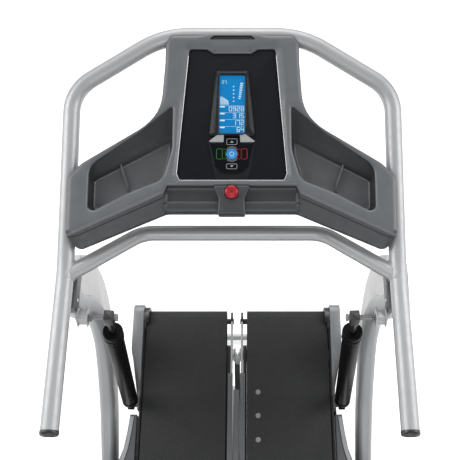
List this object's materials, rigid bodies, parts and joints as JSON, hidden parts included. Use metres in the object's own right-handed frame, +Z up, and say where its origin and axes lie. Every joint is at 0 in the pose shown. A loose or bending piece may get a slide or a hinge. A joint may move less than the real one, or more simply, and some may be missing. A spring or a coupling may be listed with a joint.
{
  "type": "stair climber",
  "caption": "Walking stair climber with two hinged belt treadles, hydraulic cylinders, an arched handrail loop, and a console with trays, a screen and keys.",
  "frame": {"origin": "centre of the footprint on the floor", "axes": "+Y towards the console, +X to the user's right, +Z up"},
  "size_m": [0.796, 1.25, 1.3064],
  "materials": {
    "silver_paint": "satin metallic silver",
    "grey_frame_paint": "satin grey",
    "black_frame_paint": "satin black",
    "pale_plastic": "matt",
    "grey_cover_plastic": "fine texture",
    "treadle_paint": "satin",
    "console_plastic": "satin",
    "dark_plastic": "satin",
    "panel_black": "matt",
    "gloss_black": "gloss",
    "screen_blue": "backlit",
    "key_blue": "gloss",
    "button_red": "gloss",
    "belt_rubber": "fine woven texture",
    "black_rubber": "matt",
    "cylinder_black": "semi gloss",
    "bare_steel": "machined",
    "deck_board": "phenolic faced board"
  },
  "bodies": {
    "frame": {"front_stabiliser": "silver_paint", "handlebar_loop": "silver_paint", "cross_handlebar": "silver_paint", "right_shock_bracket": "silver_paint", "left_shock_bracket": "silver_paint", "right_leg": "grey_frame_paint", "left_leg": "grey_frame_paint", "centre_frame": "grey_frame_paint", "right_base_rail": "black_frame_paint", "left_base_rail": "black_frame_paint", "rear_cross_member": "black_frame_paint", "right_leg_fairing": "pale_plastic", "left_leg_fairing": "pale_plastic", "right_joint_cover": "grey_cover_plastic", "left_joint_cover": "grey_cover_plastic", "right_foot_platform": "grey_cover_plastic", "left_foot_platform": "grey_cover_plastic", "rear_cover": "grey_cover_plastic", "centre_cover": "grey_cover_plastic", "console_shell": "console_plastic", "console_back_cover": "dark_plastic", "screen_bezel": "dark_plastic", "power_inlet": "dark_plastic", "instrument_panel": "panel_black", "keypad_plate": "gloss_black", "lcd_screen": "screen_blue", "right_end_cap": "black_rubber", "left_end_cap": "black_rubber", "right_front_foot": "black_rubber", "left_front_foot": "black_rubber", "right_rear_foot": "black_rubber", "left_rear_foot": "black_rubber", "drive_belt": "black_rubber", "motor": "bare_steel"},
    "right_treadle": {"right_treadle_frame": "treadle_paint", "right_deck": "deck_board", "right_walking_belt": "belt_rubber"},
    "left_treadle": {"left_treadle_frame": "treadle_paint", "left_deck": "deck_board", "left_walking_belt": "belt_rubber"},
    "right_front_roller": {"right_front_roller": "bare_steel"},
    "left_front_roller": {"left_front_roller": "bare_steel"},
    "drive_axle": {"drive_axle": "bare_steel"},
    "rocker_arm": {"rocker_arm": "bare_steel"},
    "motor_pulley": {"motor_pulley": "bare_steel"},
    "right_cylinder_rod": {"right_cylinder_rod": "cylinder_black"},
    "left_cylinder_rod": {"left_cylinder_rod": "cylinder_black"},
    "right_cylinder_barrel": {"right_cylinder_barrel": "cylinder_black"},
    "left_cylinder_barrel": {"left_cylinder_barrel": "cylinder_black"},
    "right_dial": {"right_resistance_dial": "cylinder_black"},
    "left_dial": {"left_resistance_dial": "cylinder_black"},
    "right_transport_wheel": {"right_transport_wheel": "black_rubber"},
    "left_transport_wheel": {"left_transport_wheel": "black_rubber"},
    "power_switch": {"power_switch": "button_red"},
    "up_key": {"up_key": "gloss_black"},
    "down_key": {"down_key": "gloss_black"},
    "start_key": {"start_key": "gloss_black"},
    "stop_key": {"stop_key": "gloss_black"},
    "enter_key": {"enter_key": "key_blue"},
    "safety_stop_button": {"safety_stop_button": "button_red"}
  },
  "joints": [
    {"name": "left_treadle_hinge", "type": "hinge", "parent": "frame", "child": "left_treadle", "pos_m": [0, -0.515, 0.122], "axis": [1, 0, 0], "range_deg": [-4, 4]},
    {"name": "right_treadle_hinge", "type": "hinge", "parent": "frame", "child": "right_treadle", "pos_m": [0, -0.515, 0.122], "axis": [1, 0, 0], "range_deg": [-4, 4]},
    {"name": "rocker_pivot", "type": "hinge", "parent": "frame", "child": "rocker_arm", "pos_m": [0, 0.262, 0.302], "axis": [0, 1, 0], "range_deg": [-11.8, 11.8]},
    {"name": "drive_axle_spin", "type": "hinge", "parent": "frame", "child": "drive_axle", "pos_m": [0, -0.515, 0.122], "axis": [1, 0, 0], "continuous": true},
    {"name": "motor_pulley_spin", "type": "hinge", "parent": "frame", "child": "motor_pulley", "pos_m": [-0.29, -0.232, 0.116], "axis": [1, 0, 0], "continuous": true},
    {"name": "left_front_roller_spin", "type": "hinge", "parent": "left_treadle", "child": "left_front_roller", "pos_m": [0, 0.29522, 0.42493], "axis": [1, 0, 0], "continuous": true},
    {"name": "right_front_roller_spin", "type": "hinge", "parent": "right_treadle", "child": "right_front_roller", "pos_m": [0, 0.29522, 0.42493], "axis": [1, 0, 0], "continuous": true},
    {"name": "left_rod_pivot", "type": "hinge", "parent": "frame", "child": "left_cylinder_rod", "pos_m": [-0.268, -0.054, 0.901], "axis": [1, 0, 0], "range_deg": [-1, 1]},
    {"name": "left_cylinder_stroke", "type": "slide", "parent": "left_cylinder_rod", "child": "left_cylinder_barrel", "axis": [-0.0526, 0.2173, -0.9747], "range_m": [-0.045, 0.045]},
    {"name": "left_dial_turn", "type": "hinge", "parent": "left_cylinder_barrel", "child": "left_dial", "pos_m": [-0.268, -0.054, 0.901], "axis": [-0.0526, 0.2173, -0.9747], "range_deg": [0, 300]},
    {"name": "left_wheel_spin", "type": "hinge", "parent": "frame", "child": "left_transport_wheel", "pos_m": [-0.342, 0.598, 0.029], "axis": [1, 0, 0], "continuous": true},
    {"name": "right_rod_pivot", "type": "hinge", "parent": "frame", "child": "right_cylinder_rod", "pos_m": [0.268, -0.054, 0.901], "axis": [1, 0, 0], "range_deg": [-1, 1]},
    {"name": "right_cylinder_stroke", "type": "slide", "parent": "right_cylinder_rod", "child": "right_cylinder_barrel", "axis": [0.0526, 0.2173, -0.9747], "range_m": [-0.045, 0.045]},
    {"name": "right_dial_turn", "type": "hinge", "parent": "right_cylinder_barrel", "child": "right_dial", "pos_m": [0.268, -0.054, 0.901], "axis": [0.0526, 0.2173, -0.9747], "range_deg": [0, 300]},
    {"name": "right_wheel_spin", "type": "hinge", "parent": "frame", "child": "right_transport_wheel", "pos_m": [0.342, 0.598, 0.029], "axis": [1, 0, 0], "continuous": true},
    {"name": "power_switch_rock", "type": "hinge", "parent": "frame", "child": "power_switch", "pos_m": [-0.171, -0.6145, 0.074], "axis": [1, 0, 0], "range_deg": [0, 12]},
    {"name": "up_key_press", "type": "slide", "parent": "frame", "child": "up_key", "axis": [0, 0.5358, -0.8443], "range_m": [0, 0.0009], "stiffness_N_per_m": 900, "springref_m": -0.0006},
    {"name": "down_key_press", "type": "slide", "parent": "frame", "child": "down_key", "axis": [0, 0.5358, -0.8443], "range_m": [0, 0.0009], "stiffness_N_per_m": 900, "springref_m": -0.0006},
    {"name": "start_key_press", "type": "slide", "parent": "frame", "child": "start_key", "axis": [0, 0.5358, -0.8443], "range_m": [0, 0.0009], "stiffness_N_per_m": 900, "springref_m": -0.0006},
    {"name": "stop_key_press", "type": "slide", "parent": "frame", "child": "stop_key", "axis": [0, 0.5358, -0.8443], "range_m": [0, 0.0009], "stiffness_N_per_m": 900, "springref_m": -0.0006},
    {"name": "enter_key_press", "type": "slide", "parent": "frame", "child": "enter_key", "axis": [0, 0.5358, -0.8443], "range_m": [0, 0.0009], "stiffness_N_per_m": 900, "springref_m": -0.0006},
    {"name": "safety_stop_button_press", "type": "slide", "parent": "frame", "child": "safety_stop_button", "axis": [0, 0.5358, -0.8443], "range_m": [0, 0.004], "stiffness_N_per_m": 600, "springref_m": -0.0006}
  ],
  "couplings": [
    {"joint": "right_treadle_hinge", "follows": "left_treadle_hinge", "ratio": -1},
    {"joint": "rocker_pivot", "follows": "left_treadle_hinge", "ratio": 2.9},
    {"joint": "left_rod_pivot", "follows": "left_treadle_hinge", "ratio": -0.1255},
    {"joint": "right_rod_pivot", "follows": "left_treadle_hinge", "ratio": 0.1255},
    {"joint": "left_cylinder_stroke", "follows": "left_treadle_hinge", "m_per_rad": -0.6179},
    {"joint": "right_cylinder_stroke", "follows": "left_treadle_hinge", "m_per_rad": 0.6179},
    {"joint": "left_front_roller_spin", "follows": "drive_axle_spin", "ratio": 1},
    {"joint": "right_front_roller_spin", "follows": "drive_axle_spin", "ratio": 1},
    {"joint": "motor_pulley_spin", "follows": "drive_axle_spin", "ratio": 2.125}
  ]
}
